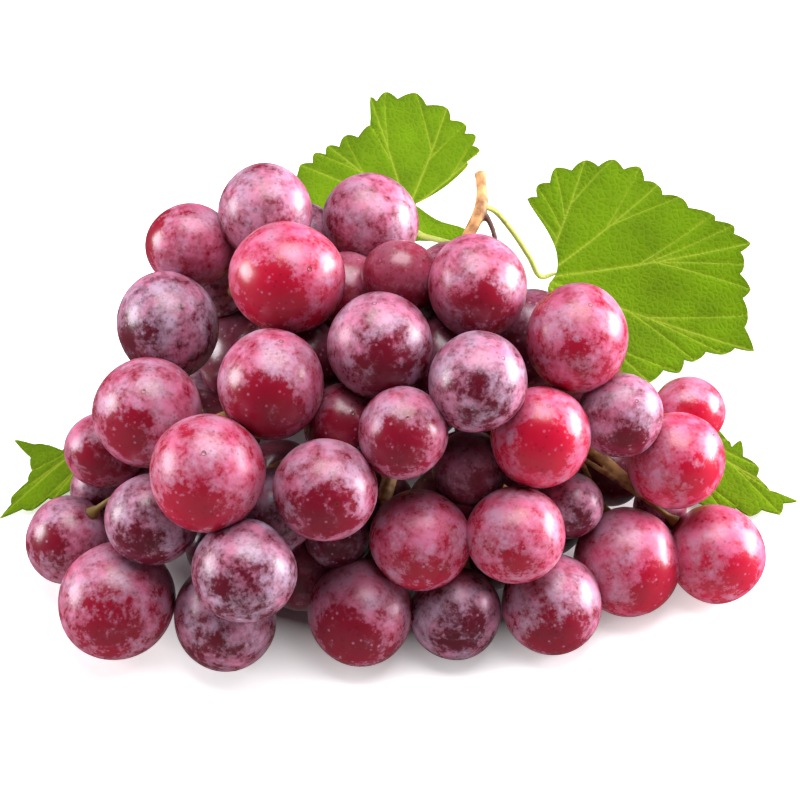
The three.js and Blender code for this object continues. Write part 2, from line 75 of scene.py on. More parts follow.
GAP_REACH = 9.0
GAP_OPEN = 0.2
GAP_SIZES = [1, 0.85, 0.7, 0.6]
CLOSE_BY = 1.3
VIEW_MARGIN = 1.5
GAP_LEAST_DEEP = 4
GAP_DEEPEST = 45
GAP_STEP = 3
GAP_ROWS = range(54, -60, -GAP_STEP)
GAP_COLUMNS = range(-90, 90, GAP_STEP)
GAP_OFF = 0.4  # shares of its radius that a berry is also tried off the gap's middle
GAP_FAR_OFF = 0.75
CIRCLE_POINTS = 16
ARM_CLEAR = 2.2
ARM_STEPS = 24
LOW_LEAF_ROOM = (62, -14, 7)  # kept free for the low leaves: beyond across, beyond back, below
BACK_LEAF_ROOM = (34, 24, 20)  # the same for the large leaf behind the right end
# Shares of the way that a berry goes in one step.
GO_HOME = 0.02
CLOSE_UP = 0.2
GIVE_WAY = 0.25
PUSH_OUT = 0.3
PULL_IN = 0.1
PULL_MOST = 0.2  # but no more millimetres than this
PULLED_BY = 3  # nearest neighbours
JOIN_PRESS = PRESS + 0.01
JOIN_SLACK = 0.05
FIT_SLACK = 0.02
FORWARD_COST = 1.5

# Across, up, radius, how far it stands out of the heap, how red its skin is, and its bloom, which
# is low on a berry in shade as painted shade. The front row rests on the surface instead.
RESTS = None
SEEN_BERRIES = [
    [-50.4, 37.0, 10.3, 0, 0.50, 0.95],
    [-32.4, 45.1, 11.3, 0, 0.35, 0.95],
    [-7.0, 43.0, 11.3, 0, 0.30, 0.95],
    [-27.1, 29.3, 13.7, 6, 0.80, 0.95],
    [0.0, 29.5, 9.1, -8, 0.40, 0.30],
    [18.7, 27.1, 12.2, 2, 0.45, 0.95],
    [42.5, 14.9, 12.7, 4, 0.60, 0.95],
    [-55.7, 17.8, 12.5, 4, 0.15, 0.95],
    [-4.8, 13.0, 12.7, 2, 0.25, 0.95],
    [-31.0, 3.8, 13.0, 6, 0.55, 0.95],
    [18.7, 4.3, 12.0, 6, 0.20, 0.95],
    [-60.7, -2.9, 13.2, -2, 0.55, 0.95],
    [33.8, -8.9, 12.0, 6, 1.00, 0.95],
    [0.7, -7.9, 11.0, 8, 0.35, 0.95],
    [52.8, -3.6, 10.3, 0, 0.25, 0.95],
    [69.1, -2.9, 8.6, -6, 0.90, 0.95],
    [66.2, -14.6, 11.5, 0, 0.90, 0.95],
    [-46.3, -17.5, 14.2, 8, 0.65, 0.95],
    [-18.0, -21.6, 12.5, 6, 0.35, 0.95],
    [-70.6, -12.0, 9.4, -8, 0.40, 0.80],
    [-59.5, -28.6, 11.0, 4, 0.10, 0.95],
    [4.8, -33.6, 12.0, 8, 0.60, 0.95],
    [27.8, -32.4, 11.8, 8, 0.65, 0.95],
    [40.8, -25.2, 7.9, -4, 0.15, 0.90],
    [16.8, -16.3, 9.1, -8, 0.20, 0.45],
    [-37.4, -41.0, 12.5, 6, 0.15, 0.95],
    [-79.7, -33.6, 10.3, 4, 0.30, 0.95],
    [-12.7, 25.2, 10.1, -16, 0.35, 0.35],
    [-13.2, -6.0, 10.1, -12, 0.30, 0.35],
    [54.5, -38.9, 12.7, RESTS, 0.75, 0.95],
    [75.8, -37.0, 11.5, RESTS, 0.85, 0.95],
    [-67.9, -48.2, 13.9, RESTS, 0.55, 0.95],
    [-42.0, -52.1, 12.5, RESTS, 0.15, 0.95],
    [-9.4, -50.9, 12.5, RESTS, 0.40, 0.80],
    [13.2, -51.1, 11.0, RESTS, 0.10, 0.80],
    [36.5, -49.0, 11.8, RESTS, 0.45, 0.95],
    [-23.3, -39.6, 10.6, RESTS, 0.25, 0.30],
]

# The stem's arms: radius and the points that each runs through.
FORK = [21.6, 39, 55]
STEM_ARMS = [
    [1.9, [
        [21.6, 48.5, 57.5], FORK, [18, 32, 50], [14, 14, 39], [8, -4, 34], [2, -18, 31],
        [-2, -32, 26],
    ]],
    [1.5, [[12, 8, 37], [-8, 3, 35], [-30, -6, 33], [-48, -12, 30], [-61, -19, 30]]],
    [1.5, [[9, 0, 35], [28, -6, 33], [44, -14, 29], [58, -25, 23]]],
    [1.2, [[-18, -1, 34], [-28, 8, 42], [-36, 13, 50]]],
    [1.2, [[5, -10, 33], [-12, -18, 32], [-28, -26, 31], [-44, -36, 27]]],
    [1.2, [[3, -15, 32], [18, -22, 27], [34, -30, 22]]],
]


def along_vector(line):
    return line / np.linalg.norm(line)


def seen_at(across, up, depth):
    """The point seen at (across, up), depth further than the middle of the view."""
    spread = 1 + depth / EYE_DISTANCE
    return VIEW_MIDDLE + across * spread * ACROSS + up * spread * UP + depth * SIGHT


def view_of(point):
    """Where a point lies in the front view: across, up and depth."""
    line = point - VIEW_MIDDLE
    depth = line @ SIGHT
    spread = 1 + depth / EYE_DISTANCE
    return line @ ACROSS / spread, line @ UP / spread, depth


def heap_level(point):
    """1 on the heap's surface, less inside it."""
    reach = HEAP_FRONT if point[1] < 0 else HEAP_BACK
    return math.hypot(point[0] / HEAP_HALF_WIDTH, point[1] / reach, point[2] / HEAP_HEIGHT)


def heap_depth(across, up, radius):
    """The depth at which a line of sight first meets the heap, or passes nearest to it."""
    best = math.inf
    depth_there = 0
    for depth in DEPTHS:
        point = seen_at(across, up, depth)
        if point[2] < radius:
            break
        level = heap_level(point)
        if level <= 1:
            return depth
        if level < best:
            best = level
            depth_there = depth
    return depth_there


def resting_depth(across, up, radius):
    """The depth at which a berry seen at (across, up) rests on the surface."""
    near = NEAREST
    far = FURTHEST
    for _ in range(HALVINGS):
        middle = (near + far) / 2
        height = seen_at(across, up, middle)[2]
        if height > radius * (1 + middle / EYE_DISTANCE) - BERRY_FLAT:
            near = middle
        else:
            far = middle
    return near


def closeness(a, b):
    """The distance between two berries as a share of their radii's sum."""
    return math.dist(a["centre"], b["centre"]) / (a["radius"] + b["radius"])


def depth_to_touch(a, b, press):
    """How far berry a must go in depth until it touches b; None if it passes by."""
    wanted = (a["radius"] + b["radius"]) * press
    deeper = a["depth"] - b["depth"]
    sideways = math.dist(a["centre"], b["centre"]) ** 2 - deeper * deeper
    if sideways > wanted * wanted:
        return None
    return (1 if deeper > 0 else -1) * math.sqrt(wanted * wanted - sideways) - deeper


def seen_berry(berry, depth):
    """A seen berry at another depth: it keeps its place and its size in the front view."""
    centre = seen_at(berry["across"], berry["up"], depth)
    radius = berry["seen_radius"] * (1 + depth / EYE_DISTANCE)
    return berry | {"depth": depth, "centre": centre, "radius": radius}


def draw_towards(berries, berry):
    """A berry that touches none is drawn in depth towards the nearest that it can touch."""
    nearest = None
    for other in berries:
        if other is berry or depth_to_touch(berry, other, PRESS) is None:
            continue
        if nearest is None or closeness(berry, other) < closeness(berry, nearest):
            nearest = other
    if nearest is None or not LOOSE <= closeness(berry, nearest) <= FAR:
        return 0
    return CLOSE_UP * depth_to_touch(berry, nearest, PRESS)


def groups_of(berries):
    """The group of touching berries that each berry belongs to, by its first member's number."""
    group = list(range(len(berries)))
    for _ in berries:
        for i, a in enumerate(berries):
            for j, b in enumerate(berries):
                if group[j] < group[i] and closeness(a, b) < TOUCH:
                    group[i] = group[j]
    return group


def easiest_join(berries):
    """The easiest move in depth that brings a group of berries up to another, or None."""
    group = groups_of(berries)
    best = None
    for i, berry in enumerate(berries):
        numbers = [k for k in range(len(berries)) if group[k] == group[i]]
        members = [berries[k] for k in numbers]
        others = [other for k, other in enumerate(berries) if group[k] != group[i]]
        if any(member["rests"] for member in members):
            continue
        for other in others:
            move = depth_to_touch(berry, other, JOIN_PRESS)
            if move is None:
                continue
            effort = move if move > 0 else -FORWARD_COST * move
            if best and best["effort"] <= effort:
                continue
            if any(member["depth"] + move > member["limit"] for member in members):
                continue
            moved = [seen_berry(member, member["depth"] + move) for member in members]
            if not any(closeness(a, b) < PRESS - JOIN_SLACK for a in moved for b in others):
                best = {"move": move, "effort": effort, "members": numbers}
    return best


def place_seen_berries():
    """The seen berries give way to each other in depth, and then close up."""
    berries = []
    for across, up, seen_radius, out, redness, bloom_and_shade in SEEN_BERRIES:
        limit = resting_depth(across, up, seen_radius)
        home = limit if out is RESTS else heap_depth(across, up, seen_radius) - out
        berry = {"across": across, "up": up, "seen_radius": seen_radius, "rests": out is RESTS}
        berry |= {"redness": redness, "bloom_and_shade": bloom_and_shade, "home": home, "limit": limit}
        berries.append(seen_berry(berry, home))
    for _ in range(SETTLE_STEPS):
        settled = []
        for berry in berries:
            if berry["rests"]:
                settled.append(berry)
                continue
            move = GO_HOME * (berry["home"] - berry["depth"]) + draw_towards(berries, berry)
            for other in berries:
                if other is not berry and closeness(berry, other) < PRESS:
                    move += GIVE_WAY * depth_to_touch(berry, other, PRESS)
            settled.append(seen_berry(berry, min(berry["depth"] + move, berry["limit"])))
        berries = settled
    join = easiest_join(berries)
    while join:
        for k in join["members"]:
            berries[k] = seen_berry(berries[k], berries[k]["depth"] + join["move"])
        join = easiest_join(berries)
    return berries


def seeded_random(seed):
    """Random numbers from 0 to 1, the same at every run."""
    state = seed
    while True:
        state = (state * 1664525 + 1013904223) % 4294967296
        yield state / 4294967296


def curve_through(points, count):
    """Points on a smooth curve through the given ones, at even steps between each two."""
    ends = [2 * points[0] - points[1], *points, 2 * points[-1] - points[-2]]
    spans = len(points) - 1
    found = []
    for step in range(count + 1):
        place = spans * step / count
        span = min(int(place), spans - 1)
        share = place - span
        p0, p1, p2, p3 = ends[span : span + 4]
        d0, d1, d2 = (math.sqrt(math.dist(a, b)) for a, b in ((p0, p1), (p1, p2), (p2, p3)))
        leave = ((p1 - p0) / d0 - (p2 - p0) / (d0 + d1) + (p2 - p1) / d1) * d1
        arrive = ((p2 - p1) / d1 - (p3 - p1) / (d1 + d2) + (p3 - p2) / d2) * d1
        square = share * share * (-3 * p1 + 3 * p2 - 2 * leave - arrive)
        cube = share**3 * (2 * p1 - 2 * p2 + leave + arrive)
        found.append(p1 + leave * share + square + cube)
    return np.array(found)


def arrays(points):
    return [np.array(point, float) for point in points]


arm_ways = [curve_through(arrays(points), ARM_STEPS) for _, points in STEM_ARMS]
arm_points = np.concatenate(arm_ways)
arm_numbers = np.repeat(np.arange(len(STEM_ARMS)), ARM_STEPS + 1)


def is_over_leaf(point, radius):
    """Places kept for the low leaves, and for the large leaf behind the bunch's right end."""
    rooms = [(abs(point[0]), LOW_LEAF_ROOM), (point[0], BACK_LEAF_ROOM)]
    back = point[1] + radius
    low = point[2] - radius
    return any(x + radius > end and back > rear and low < top for x, (end, rear, top) in rooms)


def fits(berries, centre, radius, neighbours):
    """Whether a berry fits among the others, with at least so many neighbours close by."""
    if is_over_leaf(centre, radius):
        return False
    if np.linalg.norm(arm_points - centre, axis=1).min() < radius + ARM_CLEAR:
        return False
    berry = {"centre": centre, "radius": radius}
    near = [closeness(berry, other) for other in berries]
    return min(near) >= PRESS - FIT_SLACK and sum(share < CLOSE_BY for share in near) >= neighbours


def discs_of(berries):
    """The discs that berries cover in the front view: across, up, radius, depth."""
    discs = []
    for berry in berries:
        across, up, depth = view_of(berry["centre"])
        discs.append([across, up, berry["radius"] / (1 + depth / EYE_DISTANCE), depth])
    return np.array(discs)


def is_covered(discs, across, up):
    return bool((np.hypot(across - discs[:, 0], up - discs[:, 1]) < discs[:, 2]).any())


def share_outside(discs, across, up, radius, margin):
    """How much of a circle in the front view no seen berry covers."""
    turn = np.arange(CIRCLE_POINTS)[:, None] * 2 * math.pi / CIRCLE_POINTS
    x = across + radius * np.cos(turn) - discs[:, 0]
    y = up + radius * np.sin(turn) - discs[:, 1]
    covered = (np.hypot(x, y) < discs[:, 2] + margin).any(axis=1)
    return 1 - covered.mean()


def nearest_fit(berries, outline, across, up, radius):
    """The least deep free place behind the heap's surface for a berry that covers (across, up)."""
    best = None
    least = math.inf
    for i in range(17):
        off = 0 if i == 0 else radius * (GAP_OFF if i < 9 else GAP_FAR_OFF)
        x = across + off * math.cos(math.pi * i / 4)
        y = up + off * math.sin(math.pi * i / 4)
        if share_outside(outline, x, y, radius, VIEW_MARGIN) > 0:
            continue
        surface = heap_depth(x, y, radius)
        depth = surface + GAP_LEAST_DEEP
        limit = min(resting_depth(x, y, radius), surface + GAP_DEEPEST)
        while depth <= limit and depth - surface < least:
            centre = seen_at(x, y, depth)
            if fits(berries, centre, radius, 0):
                best = centre
                least = depth - surface
                break
            depth += 1
    return best


def place_gap_berries(seen, draw):
    """A dark berry sits behind each gap that the front view shows between the others."""
    berries = list(seen)
    outline = discs_of(seen)
    for up in GAP_ROWS:
        for across in GAP_COLUMNS:
            if is_covered(discs_of(berries), across, up):
                continue
            if share_outside(outline, across, up, GAP_REACH, 0) > GAP_OPEN:
                continue
            full_radius = HIDDEN_RADIUS + HIDDEN_RADIUS_SPREAD * next(draw)
            for size in GAP_SIZES:
                radius = full_radius * size
                centre = nearest_fit(berries, outline, across, up, radius)
                if centre is not None:
                    berries.append({"centre": centre, "radius": radius})
                    break
    return berries


def settle(berries, berry):
    """One step of a berry away from those it presses into, and towards its nearest neighbours.
    It stays clear of the arms and on the surface."""
    others = [other for other in berries if other is not berry]
    lines = np.array([other["centre"] for other in others]) - berry["centre"]
    lengths = np.linalg.norm(lines, axis=1)
    radii = np.array([other["radius"] for other in others])
    gaps = lengths - PRESS * (berry["radius"] + radii)
    lines /= lengths[:, None]
    for nth, k in enumerate(np.argsort(gaps, kind="stable")):
        if gaps[k] < 0:
            berry["centre"] = berry["centre"] + lines[k] * PUSH_OUT * gaps[k]
        elif nth < PULLED_BY:
            berry["centre"] = berry["centre"] + lines[k] * min(PULL_IN * gaps[k], PULL_MOST)
    from_arms = np.linalg.norm(arm_points - berry["centre"], axis=1)
    missing = berry["radius"] + ARM_CLEAR - from_arms.min()
    if missing > 0:
        away = along_vector(berry["centre"] - arm_points[from_arms.argmin()])
        berry["centre"] = berry["centre"] + away * missing
    berry["centre"][2] = max(berry["centre"][2], berry["radius"] - BERRY_FLAT)


def place_hidden_berries(seen):
    """The hidden berries fill the heap from the outside in, wherever one fits, and settle."""
    draw = seeded_random(HIDDEN_SEED)
    outline = discs_of(seen)
    berries = place_gap_berries(seen, draw)
    turn_step = math.pi * (3 - math.sqrt(5))
    radius = HIDDEN_RADIUS + HIDDEN_RADIUS_SPREAD * next(draw)
    for level in HIDDEN_SHELLS:
        for i in range(HIDDEN_DIRECTIONS):
            height = (i + 0.5) / HIDDEN_DIRECTIONS
            ring = math.sqrt(1 - height * height)
            x = HEAP_HALF_WIDTH * level * ring * math.cos(i * turn_step)
            y = level * ring * math.sin(i * turn_step)
            y *= HEAP_FRONT if y < 0 else HEAP_BACK
            z = max(HEAP_HEIGHT * level * height, radius - BERRY_FLAT)
            centre = np.array([x, y, z])
            across, up, _ = view_of(centre)
            if share_outside(outline, across, up, radius, VIEW_MARGIN) > 0:
                continue
            if fits(berries, centre, radius, 2):
                berries.append({"centre": centre, "radius": radius})
                radius = HIDDEN_RADIUS + HIDDEN_RADIUS_SPREAD * next(draw)
    for _ in range(SETTLE_STEPS // 2):
        for berry in berries[len(seen) :]:
            settle(berries, berry)
    return berries


berries = place_hidden_berries(place_seen_berries())

# How each berry is carried
# A pedicel leaves one of the stem's arms and runs to its berry by the shortest free way. The
# berry is slightly long, and its long axis points along the pedicel's end.
BERRY_STRETCH = 1.05
PEDICEL_RADIUS = 0.85
PEDICEL_BEND = 5.0
PEDICELS_FROM_Y = 30.0
PEDICEL_CLEAR = 0.35
PEDICEL_SHOWN = 60.0  # millimetres that a pedicel would go round so as not to show at all
PEDICEL_TURNS = 8
PEDICEL_RINGS = 4
PEDICEL_STEPS = 14

discs = discs_of(berries)


def bent(start, middle, end, count):
    share = np.linspace(0, 1, count + 1)[:, None]
    return (1 - share) ** 2 * start + 2 * (1 - share) * share * middle + share**2 * end


def share_shown(points):
    """The share of some points that no berry hides in the front view."""
    shown = 0
    for point in points:
        across, up, depth = view_of(point)
        off = np.hypot(across - discs[:, 0], up - discs[:, 1])
        sunk = np.sqrt(np.maximum(discs[:, 2] ** 2 - off**2, 0))
        shown += not ((off < discs[:, 2]) & (depth > discs[:, 3] - sunk)).any()
    return shown / len(points)


def pedicel_to(berry):
    """The easiest way for a pedicel from an arm to a berry, clear of all the other berries."""
    others = [other for other in berries if other is not berry]
    centres = np.array([other["centre"] for other in others])
    reach = np.array([other["radius"] for other in others]) * BERRY_STRETCH
    reach += PEDICEL_RADIUS + PEDICEL_CLEAR
    ways = []
    for k, root in enumerate(arm_points):
        if root[1] > PEDICELS_FROM_Y:
            continue
        for bend in range(PEDICEL_RINGS * PEDICEL_TURNS + 1):
            aside = math.ceil(bend / PEDICEL_TURNS) * PEDICEL_BEND
            ways.append((math.dist(root, berry["centre"]) + aside, k, bend, aside))
    best = None
    least = math.inf
    for length, k, bend, aside in sorted(ways):
        if length >= least:
            break
        root = arm_points[k]
        line = berry["centre"] - root
        sideways = along_vector(np.array([-line[1], line[0], 0]))
        upwards = along_vector(np.cross(line, sideways))
        turn = 2 * math.pi * bend / PEDICEL_TURNS
        middle = (root + berry["centre"]) / 2
        middle = middle + aside * (math.cos(turn) * sideways + math.sin(turn) * upwards)
        points = bent(root, middle, berry["centre"], PEDICEL_STEPS)
        apart = np.linalg.norm(points[:, None] - centres, axis=2)
        if (apart < reach).any():
            continue
        effort = length + PEDICEL_SHOWN * share_shown(points)
        if effort < least:
            least = effort
            best = k, middle
    return best


for berry in berries:
    k, middle = pedicel_to(berry)
    berry["root"] = arm_points[k]
    berry["arm"] = int(arm_numbers[k])
    berry["middle"] = middle
    berry["axis"] = along_vector(berry["centre"] - middle)

# Berries
# A grape is a thin skin, tight over clear flesh, under a bloom of pale wax that is rubbed off in
# places. It has a small dry scar at its free end and a shallow hollow round its pedicel.
BERRY_SEED = 5
BERRY_SEGMENTS = 56
BERRY_RINGS = 40
SCAR_REACH = 0.996  # faces of a unit berry past this height hold the scar
SCAR_INSETS = [(0.03, 0.0), (0.012, 0.004), (0.014, -0.010)]  # how far in, and how far up
SCAR_EDGE = (0.9979, 0.9993)
LUMP = 0.028  # how far a berry's skin departs from an oval, as a share of its radius
LUMP_SIZE = 1.1
UNEVEN = 0.03  # how much wider or narrower than round a berry can be
HOLLOW_DEPTH = 0.05
HOLLOW_WIDTH = 0.02
# Hidden berries get a dark skin: painted shade in the gaps between the seen berries.
HIDDEN_SHADE_REDNESS = 0.15
REDNESS_CHANGE = 0.08
FRONT_WINDOW = (0.3, -0.55)  # the bare patch looks this much aside and backwards,
BACK_WINDOW = (1.0, 0.3)
WINDOW_LOW = 0.30  # and this much upwards
WINDOW_JITTER = 0.30
WINDOW_CHANGE = (-0.14, 0.08)  # some berries have a smaller bare patch than others
DEEP_LEVEL = 0.76  # berries at this level of the heap have the thinnest bloom, as painted shade
OUTER_LEVEL = 0.96
DEEP_SHADE_BLOOM = 0.15
OUTER_BLOOM = 0.95
OPEN_BACK = 15.0  # berries further back than this show at the open back of the bunch, with no painted shade

BARE_EDGE = (0.74, 0.97)  # the facing at which the bare patch begins, and is full
RUBBED = 0.14  # bloom that is lost in the bare patch, and more of it on a red berry
RUBBED_RED = 0.28
# More pale bloom on a berry's upper side: partly real bloom, partly painted light from above.
PAINTED_TOP_LIGHT = 0.09
BLOOM_EDGE = (0.30, 0.74)
BARE_DARK = (0.075, 0.001, 0.011, 1)
BARE_RED = (0.50, 0.003, 0.030, 1)
BLOOM_GREY = (0.48, 0.335, 0.46, 1)
BLOOM_PINK = (0.62, 0.13, 0.26, 1)
SCAR_BROWN = (0.10, 0.035, 0.02, 1)
SPECK_DARK = (0.05, 0.004, 0.012, 1)


def mesh_tool(mode):
    bpy.ops.object.mode_set(mode=mode)


def deselect_all():
    bpy.ops.object.select_all(action="DESELECT")


def pick(*pieces):
    """Selects these pieces alone, with the first of them active."""
    deselect_all()
    for piece in pieces:
        piece.select_set(True)
    bpy.context.view_layer.objects.active = pieces[0]


def new_object(name, data):
    made = bpy.data.objects.new(name, data)
    bpy.context.collection.objects.link(made)
    return made


def attribute(mesh, name, values):
    layer = mesh.attributes.new(name, "FLOAT", "POINT")
    layer.data.foreach_set("value", np.asarray(values, dtype=np.float32))


def points_of(mesh):
    points = np.empty(len(mesh.vertices) * 3, dtype=np.float64)
    mesh.vertices.foreach_get("co", points)
    return points.reshape(-1, 3)


def set_points(mesh, points):
    mesh.vertices.foreach_set("co", np.asarray(points, dtype=np.float32).ravel())
    mesh.update()


def join_as(name, objects):
    """Joins finished objects into one piece with this name."""
    pick(*objects)
    if len(objects) > 1:
        bpy.ops.object.join()
    objects[0].name = name
    objects[0].data.name = name
    return objects[0]


def unit_berry():
    """A round berry of radius 1 with its scar at the top."""
    deselect_all()
    bpy.ops.mesh.primitive_uv_sphere_add(segments=BERRY_SEGMENTS, ring_count=BERRY_RINGS, radius=1)
    berry = bpy.context.object
    mesh_tool("EDIT")
    bpy.ops.mesh.select_all(action="DESELECT")
    mesh_tool("OBJECT")
    for face in berry.data.polygons:
        face.select = face.center.z > SCAR_REACH
    mesh_tool("EDIT")
    for thickness, rise in SCAR_INSETS:
        bpy.ops.mesh.inset(thickness=thickness)
        bpy.ops.transform.translate(value=(0, 0, rise))
    mesh_tool("OBJECT")
    bpy.ops.object.shade_smooth()
    return berry


def oval_points(unit, berry, draw):
    """A unit berry's points on a real berry: long, a little uneven and hollow at its pedicel."""
    offset = Vector([draw.random() * 90 for _ in range(3)])
    lumps = np.array([noise.noise(Vector(p) * LUMP_SIZE + offset) for p in unit])
    height = unit[:, 2]
    hollow = HOLLOW_DEPTH * np.exp(-((1 + height) / HOLLOW_WIDTH))
    shape = unit * (1 + LUMP * lumps)[:, None]
    shape[:, 2] += hollow
    wider = 1 + UNEVEN * draw.uniform(-1, 1)
    shape *= [wider, 1 / wider, BERRY_STRETCH]
    turn = Vector((0, 0, 1)).rotation_difference(Vector(berry["axis"])).to_matrix()
    return shape @ np.array(turn).T * berry["radius"]


def window_direction(berry, draw):
    """Where a berry's bloom is rubbed off: outwards from the bunch, and a little upwards."""
    aside, back = BACK_WINDOW if berry["centre"][1] > OPEN_BACK else FRONT_WINDOW
    outwards = np.array([aside * berry["centre"][0] / HEAP_HALF_WIDTH, back, 0])
    jitter = np.array([draw.uniform(-1, 1) for _ in range(3)]) * WINDOW_JITTER
    return along_vector(along_vector(outwards) + [0, 0, WINDOW_LOW] + jitter)


def bloom_and_shade_on(berry):
    """How thick the bloom is: thin on a hidden berry deep in the bunch, as painted shade."""
    if "bloom_and_shade" in berry:
        return berry["bloom_and_shade"]
    if berry["centre"][1] > OPEN_BACK:
        return OUTER_BLOOM
    out = (heap_level(berry["centre"]) - DEEP_LEVEL) / (OUTER_LEVEL - DEEP_LEVEL)
    return DEEP_SHADE_BLOOM + (OUTER_BLOOM - DEEP_SHADE_BLOOM) * min(max(out, 0), 1)


class Material:
    """A new material, with short ways to add nodes that lie in the object's own space."""

    def __init__(self, name):
        self.data = bpy.data.materials.new(name)
        self.data.use_nodes = True
        self.tree = self.data.node_tree
        self.shader = self.tree.nodes["Principled BSDF"]
        self.place = self.node("TexCoord").outputs["Object"]

    def put(self, socket, value):
        """A socket takes a constant, or a link from another node."""
        if isinstance(value, (int, float, tuple)):
            socket.default_value = value
        else:
            self.tree.links.new(value, socket)

    def node(self, kind, inputs=(), **settings):
        """A node with these settings. Its inputs are given as pairs of a name and a value."""
        item = self.tree.nodes.new("ShaderNode" + kind)
        for name, value in settings.items():
            setattr(item, name, value)
        for name, value in inputs:
            self.put(item.inputs[name], value)
        return item

    def shade(self, name, value):
        self.put(self.shader.inputs[name], value)

    def named(self, name):
        return self.node("Attribute", attribute_name=name).outputs["Fac"]

    def maths(self, operation, a, b, clamp=False):
        inputs = [(0, a), (1, b)]
        return self.node("Math", inputs, operation=operation, use_clamp=clamp).outputs[0]

    def times(self, a, b):
        return self.maths("MULTIPLY", a, b)

    def swing(self, value, reach):
        """A value round 0.5 as a change up and down from 0."""
        return self.times(self.maths("SUBTRACT", value, 0.5), reach)

    def ramp(self, value, low, high, start=0.0, end=1.0, kind="LINEAR"):
        """From low to high the value given out goes from start to end."""
        inputs = enumerate((value, low, high, start, end))
        return self.node("MapRange", inputs, interpolation_type=kind).outputs[0]

    def smooth(self, *numbers):
        return self.ramp(*numbers, kind="SMOOTHSTEP")

    def mixed(self, share, a, b):
        return self.node("Mix", [("Factor", share), (6, a), (7, b)], data_type="RGBA").outputs[2]

    def cloud(self, scale, detail, roughness=0.5):
        inputs = [("Scale", scale), ("Detail", detail), ("Roughness", roughness)]
        return self.node("TexNoise", [("Vector", self.place), *inputs]).outputs["Fac"]

    def cells(self, scale, feature="F1"):
        inputs = [("Vector", self.place), ("Scale", scale)]
        return self.node("TexVoronoi", inputs, feature=feature).outputs["Distance"]

    def spots(self, scale, size, soft, strength):
        return self.times(self.smooth(self.cells(scale), size, size + soft, 1.0, 0.0), strength)

    def bump(self, height, strength, distance):
        inputs = [("Height", height), ("Strength", strength), ("Distance", distance)]
        self.shade("Normal", self.node("Bump", inputs).outputs["Normal"])


def grape_skin():
    """The bloom comes and goes in blotches. It is thicker above, partly as painted light from
    above, thin in the bare patch, and thin on berries in shade as painted shade.
    """
    skin = Material("grape_skin")
    skin.shade("IOR", 1.42)
    skin.shade("Subsurface Weight", 0.22)
    skin.shade("Subsurface Radius", (1.0, 0.12, 0.12))
    skin.shade("Subsurface Scale", 0.004)
    skin.shade("Coat Weight", 0.5)
    skin.shade("Coat Roughness", 0.3)
    redness = skin.named("redness")

    grain = skin.cloud(1000, 2, 0.6)
    edge = skin.maths("ADD", skin.named("window"), skin.swing(skin.cloud(420, 4, 0.65), 0.5))
    bare = skin.smooth(edge, *BARE_EDGE)
    rubbed = skin.maths("ADD", skin.times(redness, RUBBED_RED), RUBBED)
    # The bloom grows towards each berry's top: partly painted light from above.
    wax_light_and_shade = skin.maths("ADD", skin.cloud(230, 5, 0.62), skin.times(skin.named("lift"), PAINTED_TOP_LIGHT))
    wax_light_and_shade = skin.maths("ADD", wax_light_and_shade, skin.swing(grain, 0.35))
    wax_light_and_shade = skin.maths("SUBTRACT", wax_light_and_shade, skin.times(bare, rubbed))
    wax_light_and_shade = skin.maths("SUBTRACT", wax_light_and_shade, skin.times(redness, 0.03))
    # Each berry's bloom value thins the bloom of a berry in shade: painted shade.
    wax_light_and_shade = skin.times(skin.smooth(wax_light_and_shade, *BLOOM_EDGE), skin.named("bloom_and_shade"))

    flesh = skin.mixed(skin.maths("POWER", redness, 1.25), BARE_DARK, BARE_RED)
    tints = skin.smooth(skin.cloud(150, 3), 0.35, 0.65)
    pinkness = skin.maths("ADD", skin.times(redness, 0.55), skin.times(tints, 0.6), clamp=True)
    powder = skin.mixed(pinkness, BLOOM_GREY, BLOOM_PINK)
    colour = skin.mixed(wax_light_and_shade, flesh, powder)
    colour = skin.mixed(skin.spots(610, 0.12, 0.14, 0.4), colour, SPECK_DARK)
    colour = skin.mixed(skin.spots(470, 0.10, 0.12, 0.45), colour, powder)
    colour = skin.mixed(skin.smooth(skin.named("end"), *SCAR_EDGE, 0.0, 0.8), colour, SCAR_BROWN)
    skin.shade("Base Color", colour)
    skin.shade("Roughness", skin.smooth(wax_light_and_shade, 0.0, 0.9, 0.24, 0.52))
    skin.bump(grain, 0.12, 0.0004)
    return skin.data


skin = grape_skin()
master = unit_berry()
unit = points_of(master.data)
draw = random.Random(BERRY_SEED)
copies = [[] for _ in STEM_ARMS]
for number, berry in enumerate(berries):
    copy = new_object(f"berry_{number}", master.data.copy())
    offsets = oval_points(unit, berry, draw)
    points = (berry["centre"] + offsets - FRAME_MIDDLE) * MM
    points[:, 2] = np.maximum(points[:, 2], 0)
    set_points(copy.data, points)
    facing = offsets / np.linalg.norm(offsets, axis=1)[:, None]
    redness = berry.get("redness", HIDDEN_SHADE_REDNESS) + REDNESS_CHANGE * draw.uniform(-1, 1)
    attribute(copy.data, "lift", facing[:, 2])
    window = facing @ window_direction(berry, draw) + draw.uniform(*WINDOW_CHANGE)
    attribute(copy.data, "window", window)
    attribute(copy.data, "redness", np.full(len(unit), min(max(redness, 0), 1)))
    attribute(copy.data, "end", unit[:, 2])
    # The bloom value is lowered on berries in shade: painted shade.
    attribute(copy.data, "bloom_and_shade", np.full(len(unit), bloom_and_shade_on(berry)))
    copy.data.materials.append(skin)
    copies[berry["arm"]].append(copy)
bpy.data.objects.remove(master)

ARM_NAMES = ["middle", "left", "right", "top_left", "low_left", "low_right"]
for name, group in zip(ARM_NAMES, copies):
    piece = join_as(f"berries_{name}", group)
    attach(piece, "root")
    if name == "middle":
        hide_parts("berries")

